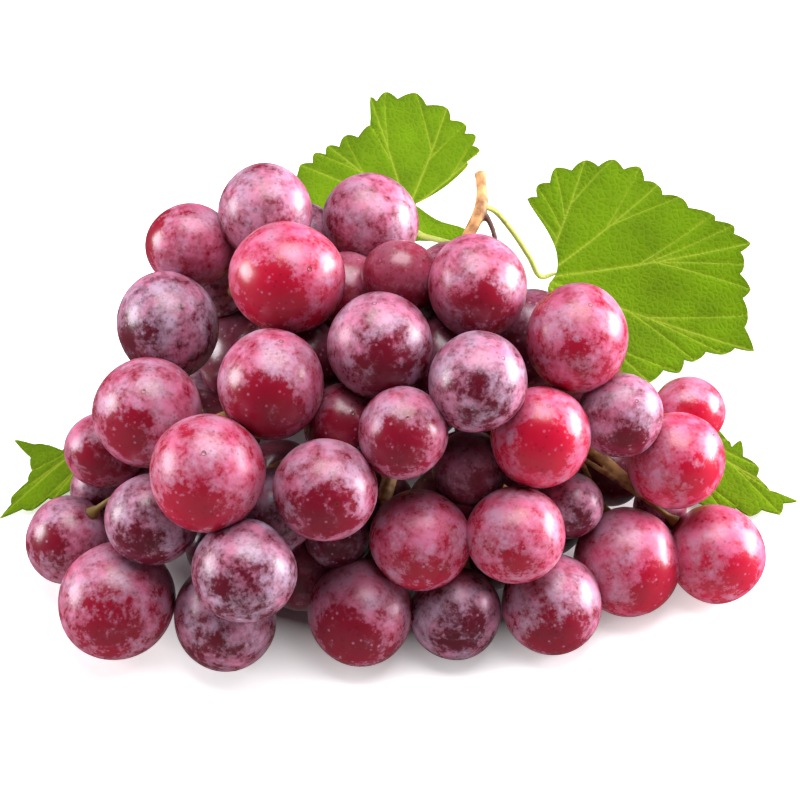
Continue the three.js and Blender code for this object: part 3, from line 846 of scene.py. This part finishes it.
# Stem
# The woody stem is tan and a little knotted: a cut end, a fork with a thin dry side branch, and
# arms that run through the bunch. A green-brown pedicel with a flared end carries each berry.
STEM_STEPS = 60
STEM_VOXEL = 0.4
CUT_FLARES = [1.12, 1.08, 1.02]  # the cut end is a little wider
PEDUNCLE_SLIM = 0.72  # above the fork the stem is this share of its thickness in the bunch
SLIM_LENGTH = 12
KNOT_SWELL = 0.22
KNOT_REACH = 3.5
KNOT_MOST = 1.5
PEDICEL_THIN = 0.7
PEDICEL_FLARE = 2.0
FLARE_LENGTH = 2.2
PEDICEL_SUNK = 0.93  # a pedicel ends inside its berry, at this share of the radius
TENDRIL = [[21.6, 39, 55], [24.2, 34.5, 52.5], [25.6, 29, 49.5], [27, 22, 44]]
TENDRIL_RADII = (0.8, 0.5)
TENDRIL_STEPS = 24
TWIG_SIDES = 3  # steps of a quarter of a twig's round
TWIG_STEPS = 40
WOOD_END = 6.0  # the bark turns into a pedicel's skin up to here from an arm's middle
WOOD_FADE = 3.0
DRY_REACH = 1.8
DRY_FROM = 1.2
KNOT_PLACES = np.concatenate([[FORK], [points[0] for _, points in STEM_ARMS[1:]]])

WOOD_TAN = (0.72, 0.40, 0.15, 1)
WOOD_BROWN = (0.30, 0.12, 0.035, 1)
PEDICEL_GREEN = (0.22, 0.13, 0.025, 1)
DRY_BROWN = (0.075, 0.025, 0.010, 1)


def twig(points, radii):
    """A round twig through points in millimetres, thicker and thinner along its way."""
    path = bpy.data.curves.new("twig", "CURVE")
    path.dimensions = "3D"
    path.bevel_depth = MM
    path.bevel_resolution = TWIG_SIDES
    path.use_fill_caps = True
    spline = path.splines.new("POLY")
    spline.points.add(len(points) - 1)
    for point, place, radius in zip(spline.points, points, radii):
        point.co = (*((place - FRAME_MIDDLE) * MM), 1)
        point.radius = radius
    pick(new_object("twig", path))
    bpy.ops.object.convert(target="MESH")
    return bpy.context.object


def knotted(points, radius):
    """An arm's radii, larger where arms meet."""
    swell = np.zeros(len(points))
    for knot in KNOT_PLACES:
        swell += np.exp(-((np.linalg.norm(points - knot, axis=1) / KNOT_REACH) ** 2))
    return radius * (1 + KNOT_SWELL * np.minimum(swell, KNOT_MOST))


def apply_modifier(piece, kind, **values):
    pick(piece)
    modifier = piece.modifiers.new(kind, kind)
    for key, value in values.items():
        setattr(modifier, key, value)
    bpy.ops.object.modifier_apply(modifier=modifier.name)


twigs = []
for number, (radius, points) in enumerate(STEM_ARMS):
    places = curve_through(arrays(points), STEM_STEPS)
    radii = knotted(places, radius)
    if number == 0:
        inside = np.clip((FORK[1] - places[:, 1]) / SLIM_LENGTH, 0, 1)
        radii *= inside * (1 - PEDUNCLE_SLIM) + PEDUNCLE_SLIM
        radii[:3] *= CUT_FLARES
    twigs.append(twig(places, radii))
for berry in berries:
    places = bent(berry["root"], berry["middle"], berry["centre"], TWIG_STEPS)
    left = np.linalg.norm(places - berry["centre"], axis=1) / berry["radius"]
    places = places[left > PEDICEL_SUNK]
    above = np.linalg.norm(places - berry["centre"], axis=1) - berry["radius"] * BERRY_STRETCH
    flare = np.exp(-np.maximum(above, 0) / FLARE_LENGTH)
    twigs.append(twig(places, PEDICEL_THIN + (PEDICEL_FLARE - PEDICEL_THIN) * flare**2))
tendril = curve_through(arrays(TENDRIL), TENDRIL_STEPS)
twigs.append(twig(tendril, np.linspace(*TENDRIL_RADII, len(tendril))))
stem = join_as("stem_wood", twigs)
apply_modifier(stem, "REMESH", mode="VOXEL", voxel_size=STEM_VOXEL * MM)
apply_modifier(stem, "SMOOTH", factor=0.5, iterations=3)
bpy.ops.object.shade_smooth()


def stem_wood():
    wood = Material("stem_wood")
    wood.shade("Roughness", 0.6)
    grain = wood.cloud(420, 5)
    bark = wood.mixed(wood.ramp(grain, 0.35, 0.6), WOOD_BROWN, WOOD_TAN)
    whole = wood.mixed(wood.named("woody"), PEDICEL_GREEN, bark)
    wood.shade("Base Color", wood.mixed(wood.named("dry"), whole, DRY_BROWN))
    wood.bump(grain, 0.5, 0.0006)
    return wood.data


places = points_of(stem.data) / MM + FRAME_MIDDLE
off_arms = np.array([np.linalg.norm(arm_points - place, axis=1).min() for place in places])
off_tendril = np.array([np.linalg.norm(tendril - place, axis=1).min() for place in places])
attribute(stem.data, "woody", np.clip((WOOD_END - off_arms) / WOOD_FADE, 0, 1))
attribute(stem.data, "dry", np.clip(DRY_REACH - off_tendril, 0, 1) * (off_arms > DRY_FROM))
stem.data.materials.append(stem_wood())
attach(stem, "root")
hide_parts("stem")

# Leaves
# A vine leaf is a thin toothed blade, puffed up a little between veins that fan out from its
# petiole. Each is seen on its own line of sight behind or beside the bunch.
TOOTH_DEPTH = 1.7
NOTCH_AT = 0.55
TOOTH_BULGE = 0.35
TOOTH_STEPS = 4
SEEK_STEPS = 60
SEEK_SHARE = 0.9
BLADE_THICKNESS = 0.5
BLADE_PITCH = 0.6
PITCH_JITTER = 0.2
PITCH_LEAST = 0.5
VEIN_WIDTH = 0.26
VEIN_PITCH = 0.3
VEIN_GROOVE = 0.07
PUFF = 0.20
PUFF_REACH = 8.0  # in widths of the nearest vein
RIM_WIDTH = 1.5
VEIN_ENDS = (1.5, 0.7)  # a vein's width at its root and at its tip
SIDE_VEIN = 0.55  # how wide a side vein is, and how far out along the main one it leaves
VEIN_BOW = 0.03
SIDE_BOW = 0.06
VEIN_STEPS = 24
SIDE_STEPS = 16
PETIOLE_STEPS = 40
PETIOLE_TAPER = 0.55
TAPER_LATE = 8
SMOOTH_ANGLE = math.radians(50)
LEAF_SEED = 3

LOW_LEAF = {"petiole_radius": 0.9, "rise": 0.09, "reach": 42, "wave": 0.5, "waves": 3}
LEAVES = [
    {
        "name": "leaf_top_right",
        "middle": [50, 36],
        "teeth": [
            [60, 4.3], [67.2, 6.7], [70.8, 9.4], [77.8, 11], [85, 11.8], [83.5, 20.4], [84.2, 26.6],
            [82.6, 32.6], [84.2, 37.7], [79.9, 42], [75.1, 44.6], [67.2, 48.7], [61.9, 51.6],
            [57.6, 55.9], [51.1, 57.8], [44.4, 57.6], [37.2, 55.7], [32.9, 51.4], [30.5, 48.2],
        ],
        "sinus": [[32.4, 45.1], [35.5, 40.3], [37.4, 36], [37.6, 30.8]],
        "base": [[35.5, 27.1], [36.5, 23.3], [40.3, 18], [44.4, 13.2], [48, 9.1], [54, 5.3]],
        "petiole": [
            [21.8, 39.2, 55], [24.6, 40.6, 52.6], [29, 43, 44], [34, 49, 29], [37.6, 54.6, 16.9],
            [41, 56, 16.9],
        ],
        "petiole_radius": 0.7,
        "junction": [37.4, 54.9, 16.5],
        "rise": 0.6,
        "reach": 50,
        "wave": 1.5,
        "waves": 5,
        "veins_to": [0, 4, 8, 12, 15],
    },
    {
        "name": "leaf_top_left",
        "middle": [-6, 47],
        "teeth": [
            [15.8, 55.7], [19.2, 59.8], [18.2, 63.4], [15.8, 66], [11.3, 70.1], [3.8, 73.7],
            [-3.6, 73.9], [-7.2, 72.7], [-7.2, 66], [-13.2, 63.4], [-17.3, 61], [-20.4, 59.3],
            [-24, 56.4],
        ],
        "sinus": [[-25, 51], [-22, 46.8], [-18.7, 42.7], [-13.2, 40.3], [-7.2, 38.4], [-1.2, 37.2]],
        "base": [
            [4.3, 38.2], [13.4, 38.2], [15.8, 40.6], [9.1, 43], [4.6, 46.1], [3.8, 47], [5.8, 48.2],
            [11, 51.4],
        ],
        "petiole": [[15.6, 33.2, 48], [12, 41, 42], [6, 54, 33], [3.4, 64.2, 30], [1, 66.5, 30.6]],
        "petiole_radius": 0.7,
        "junction": [3.6, 64.2, 30],
        "rise": 0.35,
        "reach": 40,
        "wave": 1.2,
        "waves": 4,
        "veins_to": [1, 4, 7, 10, 12],
    },
    {
        "name": "leaf_low_left",
        "middle": [-78, -15],
        "teeth": [
            [-79, -11.5], [-85, -10.8], [-92.6, -9.6], [-88.3, -17], [-93, -23], [-96, -28.3],
            [-88.3, -26.4], [-83, -23.5], [-75.8, -22.8],
        ],
        "sinus": [[-70, -20.5], [-64, -17], [-61, -9]],
        "base": [[-62, 0], [-68, -1], [-72, -5]],
        "petiole": [[-50, 28, 4.4], [-56, 26, 5], [-62, 23.5, 5], [-66, 21, 4.6]],
        "junction": [-62, 23, 5],
        **LOW_LEAF,
        "veins_to": [2, 5, 7],
    },
    {
        "name": "leaf_low_right",
        "middle": [78, -17],
        "teeth": [
            [77.8, -26.9], [84, -27.8], [91.2, -27.4], [95.3, -24.2], [88.8, -21.8], [86, -16],
            [81.8, -9.8], [78.7, -9.8],
        ],
        "sinus": [[74, -5], [68, -2], [62, -4]],
        "base": [[61, -12], [64, -19], [70, -24]],
        "petiole": [[53, 26, 4.4], [58, 23, 5], [64, 19.5, 5], [68, 16, 4.6]],
        "junction": [64, 19, 5],
        **LOW_LEAF,
        "veins_to": [0, 3, 5],
    },
]

LEAF_DEEP = (0.070, 0.125, 0.001, 1)
LEAF_GREEN = (0.138, 0.255, 0.001, 1)
LEAF_VEIN = (0.32, 0.40, 0.03, 1)
STALK_PALE = (0.46, 0.50, 0.13, 1)


def leaf_height(leaf, x, y):
    """A blade slopes up towards the back, and waves more the further it is from the junction."""
    dx = x - leaf["junction"][0]
    dy = y - leaf["junction"][1]
    out = np.hypot(dx, dy) / leaf["reach"]
    wave = leaf["wave"] * out * out * np.sin(leaf["waves"] * np.arctan2(dy, dx))
    return leaf["junction"][2] + leaf["rise"] * dy + wave


def on_leaf(leaf, across, up):
    """The point of a leaf that is seen at (across, up)."""
    depth = 0
    for _ in range(SEEK_STEPS):
        point = seen_at(across, up, depth)
        depth += SEEK_SHARE * (point[2] - leaf_height(leaf, point[0], point[1]))
    return seen_at(across, up, depth)


def tooth_side(start, end, middle):
    """Points from start towards end, bulged a little away from the leaf's middle."""
    outwards = along_vector((start + end) / 2 - middle)
    share = np.linspace(0, 1, TOOTH_STEPS + 1)[:-1, None]
    return start + share * (end - start) + 4 * TOOTH_BULGE * share * (1 - share) * outwards


def leaf_outline(leaf):
    """The outline in the front view, with a notch cut between each two teeth."""
    middle = np.array(leaf["middle"], float)
    teeth = np.array(leaf["teeth"], float)
    points = []
    for tooth, following in zip(teeth, teeth[1:]):
        notch = tooth + NOTCH_AT * (following - tooth)
        notch = notch + TOOTH_DEPTH * along_vector(middle - notch)
        points.extend(tooth_side(tooth, notch, middle))
        points.extend(tooth_side(notch, following, middle))
    smooth = [teeth[-1], *np.array(leaf["sinus"] + leaf["base"], float), teeth[0]]
    points.extend(curve_through(smooth, 4 * len(smooth))[:-1])
    return points


def leaf_veins(leaf):
    """Main veins from the junction to the longest teeth, and side veins to the others."""
    root = np.array(view_of(np.array(leaf["junction"], float))[:2])
    teeth = np.array(leaf["teeth"], float)
    mains = [teeth[k] for k in leaf["veins_to"]]
    lines = []
    for tip in mains:
        aside = VEIN_BOW * (tip - root)[::-1] * [1, -1]
        lines.append((bent(root, (root + tip) / 2 + aside, tip, VEIN_STEPS), 1.0))
    for k, tooth in enumerate(teeth):
        if k in leaf["veins_to"]:
            continue
        turns = [np.dot(along_vector(tip - root), along_vector(tooth - root)) for tip in mains]
        main = lines[int(np.argmax(turns))][0]
        reach = np.linalg.norm(main - root, axis=1)
        start = main[int(np.argmin(np.abs(reach - SIDE_VEIN * np.linalg.norm(tooth - root))))]
        middle = (start + tooth) / 2 + SIDE_BOW * (tooth - root)
        lines.append((bent(start, middle, tooth, SIDE_STEPS), SIDE_VEIN))
    return lines


def vein_ways(leaf):
    """The veins on the leaf seen from above: points close together, and the width at each."""
    ways = []
    for line, strength in leaf_veins(leaf):
        way = np.array([on_leaf(leaf, *point)[:2] for point in line])
        run = np.append(0, np.cumsum(np.linalg.norm(np.diff(way, axis=0), axis=1)))
        at = np.linspace(0, run[-1], int(run[-1] / VEIN_PITCH) + 2)
        way = np.column_stack([np.interp(at, run, part) for part in way.T])
        ways.append((way, VEIN_WIDTH * strength * np.linspace(*VEIN_ENDS, len(way))))
    return ways


def vein_places(ways, edge):
    """Points along the veins and along both their sides, each in a small square of its own."""
    places = []
    taken = set()
    for side in (0, 1, -1):
        for way, width in ways:
            ahead = np.gradient(way, axis=0)
            aside = ahead[:, ::-1] * [-1, 1] / np.linalg.norm(ahead, axis=1)[:, None]
            for point in way + side * aside * width[:, None]:
                square = tuple(np.floor(point / VEIN_PITCH * 2).astype(int))
                if square in taken or np.hypot(*(edge - point).T).min() < VEIN_PITCH:
                    continue
                taken.add(square)
                places.append(tuple(point))
    return places


def blade(leaf):
    """A leaf's blade as a flat net of triangles, raised to its height and given its thickness."""
    edge = np.array([on_leaf(leaf, *point)[:2] for point in leaf_outline(leaf)])
    low = edge.min(axis=0)
    columns, rows = (np.ptp(edge, axis=0) / BLADE_PITCH).astype(int)
    draw = random.Random(LEAF_SEED)
    ways = vein_ways(leaf)
    places = [tuple(point) for point in edge] + vein_places(ways, edge)
    fixed = np.array(places)
    for row in range(rows):
        for column in range(columns):
            x = low[0] + (column + 0.5 * (row % 2) + PITCH_JITTER * draw.random()) * BLADE_PITCH
            y = low[1] + (row + PITCH_JITTER * draw.random()) * BLADE_PITCH
            if np.hypot(*(fixed - [x, y]).T).min() > PITCH_LEAST * BLADE_PITCH:
                places.append((x, y))
    ring = list(range(len(edge)))
    found = geometry.delaunay_2d_cdt([Vector(p) for p in places], [], [ring], 1, 1e-5)
    used = sorted({corner for face in found[2] for corner in face})
    renamed = {old: new for new, old in enumerate(used)}
    faces = [[renamed[corner] for corner in face] for face in found[2]]
    flat = np.array([tuple(found[0][corner]) for corner in used])
    off = np.full(len(flat), math.inf)
    for way, width in ways:
        for start, half in zip(way, width):
            off = np.minimum(off, np.hypot(*(flat - start).T) / half)
    vein = np.exp(-(off**2))
    puff = np.clip(off / PUFF_REACH, 0, 1)
    height = leaf_height(leaf, flat[:, 0], flat[:, 1])
    height = height - VEIN_GROOVE * vein + PUFF * (puff * (2 - puff) - 0.5)
    points = (np.column_stack([flat, height]) - FRAME_MIDDLE) * MM
    mesh = bpy.data.meshes.new(leaf["name"] + "_blade")
    mesh.from_pydata(points.tolist(), [], faces)
    attribute(mesh, "vein", vein)
    rim = np.array([np.hypot(*(edge - point).T).min() for point in flat])
    attribute(mesh, "rim", np.exp(-rim / RIM_WIDTH))
    attribute(mesh, "stalk", np.zeros(len(flat)))
    made = new_object(mesh.name, mesh)
    apply_modifier(made, "SOLIDIFY", thickness=BLADE_THICKNESS * MM, offset=0.0)
    return made


def leaf_green():
    green = Material("leaf_green")
    green.shade("Roughness", 0.62)
    green.shade("Specular IOR Level", 0.06)
    green.shade("Subsurface Weight", 0.15)
    green.shade("Subsurface Radius", (0.6, 1.0, 0.2))
    green.shade("Subsurface Scale", 0.002)
    patches = green.ramp(green.cloud(90, 4), 0.3, 0.7, 0.35, 0.95)
    net = green.cells(700, "DISTANCE_TO_EDGE")
    colour = green.mixed(patches, LEAF_DEEP, LEAF_GREEN)
    colour = green.mixed(green.ramp(net, 0.0, 0.12, 0.12, 0.0), colour, LEAF_VEIN)
    colour = green.mixed(green.ramp(green.named("rim"), 0.2, 1.0, 0.0, 0.5), colour, LEAF_DEEP)
    colour = green.mixed(green.ramp(green.named("vein"), 0.1, 0.9, 0.0, 0.75), colour, LEAF_VEIN)
    colour = green.mixed(green.ramp(green.named("stalk"), 0.2, 0.9, 0.0, 0.9), colour, STALK_PALE)
    green.shade("Base Color", colour)
    green.bump(green.ramp(net, 0.0, 0.3), 0.35, 0.0003)
    return green.data


green = leaf_green()
for leaf in LEAVES:
    leaf_blade = blade(leaf)
    way = curve_through(arrays(leaf["petiole"]), PETIOLE_STEPS)
    taper = PETIOLE_TAPER * np.linspace(0, 1, len(way)) ** TAPER_LATE
    radii = leaf["petiole_radius"] * (1 - taper)
    stalk = twig(way, radii)
    attribute(stalk.data, "stalk", np.ones(len(stalk.data.vertices)))
    piece = join_as(leaf["name"] + "_blade", [leaf_blade, stalk])
    pick(piece)
    bpy.ops.object.shade_smooth_by_angle(angle=SMOOTH_ANGLE)
    piece.data.materials.clear()
    piece.data.materials.append(green)
    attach(piece, "root")
    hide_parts(leaf["name"])

# Surface, light and camera
# The bunch lies on a plain white surface, under a broad soft light from above, with a low soft
# light at its right and a weaker one at its left. The surface is a little bright of itself, except
# under the bunch, where the missing glow is a painted shadow.
FLOOR_SIZE = 6.0
SHADE_MIDDLE = (0.0, 0.25, 0.0)
SHADE_SHRINK = (11.0, 15.5, 1.0)
SHADE_RANGE = (0.0, 0.3, 0.70, 0.0)
PAPER_WHITE = (0.85, 0.85, 0.85, 1)
WHITE = (1, 1, 1, 1)
SKY_STRENGTH = 0.09
SENSOR = 36
LIGHT_AIM = Vector((0.0, -0.01, 0.03))
LENS = 206.25
LIGHTS = [
    ["light_above", (0.05, 0.15, 0.98), (0.9, 0.7), 15, (1.0, 0.97, 1.0)],
    ["light_right", (0.97, 0.22, 0.22), (0.64, 0.42), 24, (0.97, 0.95, 1.0)],
    ["light_left", (-0.97, 0.08, 0.22), (0.45, 0.40), 8, (0.97, 0.95, 1.0)],
]

bpy.ops.mesh.primitive_plane_add(size=FLOOR_SIZE, location=(0, 0, 0))
floor = bpy.context.object
floor.name = "surface"
floor.visible_glossy = False
paper = Material("surface_white")
paper.shade("Base Color", PAPER_WHITE)
paper.shade("Roughness", 0.8)
paper.shade("Emission Color", WHITE)
# The glow fades out in an oval under the bunch: a painted shadow.
oval = [("Vector", paper.place), ("Location", SHADE_MIDDLE), ("Scale", SHADE_SHRINK)]
inside = paper.node("Mapping", oval).outputs["Vector"]
shade = paper.node("TexGradient", [("Vector", inside)], gradient_type="SPHERICAL")
paper.shade("Emission Strength", paper.ramp(shade.outputs["Fac"], *SHADE_RANGE))
floor.data.materials.append(paper.data)

for name, place, (width, tall), power, colour in LIGHTS:
    bpy.ops.object.light_add(type="AREA", location=place)
    lamp = bpy.context.object
    lamp.name = name
    lamp.data.shape = "RECTANGLE"
    lamp.data.size = width
    lamp.data.size_y = tall
    lamp.data.energy = power
    lamp.data.color = colour
    lamp.rotation_euler = (LIGHT_AIM - Vector(place)).to_track_quat("-Z", "Y").to_euler()

sky = bpy.data.worlds.new("studio")
bpy.context.scene.world = sky
sky.use_nodes = True
background = sky.node_tree.nodes["Background"]
background.inputs["Color"].default_value = WHITE
background.inputs["Strength"].default_value = SKY_STRENGTH

view_middle = Vector((VIEW_MIDDLE - FRAME_MIDDLE) * MM)
bpy.ops.object.camera_add(location=view_middle - Vector(SIGHT) * EYE_DISTANCE * MM)
camera = bpy.context.object
camera.name = "camera"
camera.data.sensor_width = SENSOR
camera.data.lens = LENS
camera.rotation_euler = Vector(SIGHT).to_track_quat("-Z", "Y").to_euler()
bpy.context.scene.camera = camera
bpy.context.scene.view_settings.view_transform = "Standard"
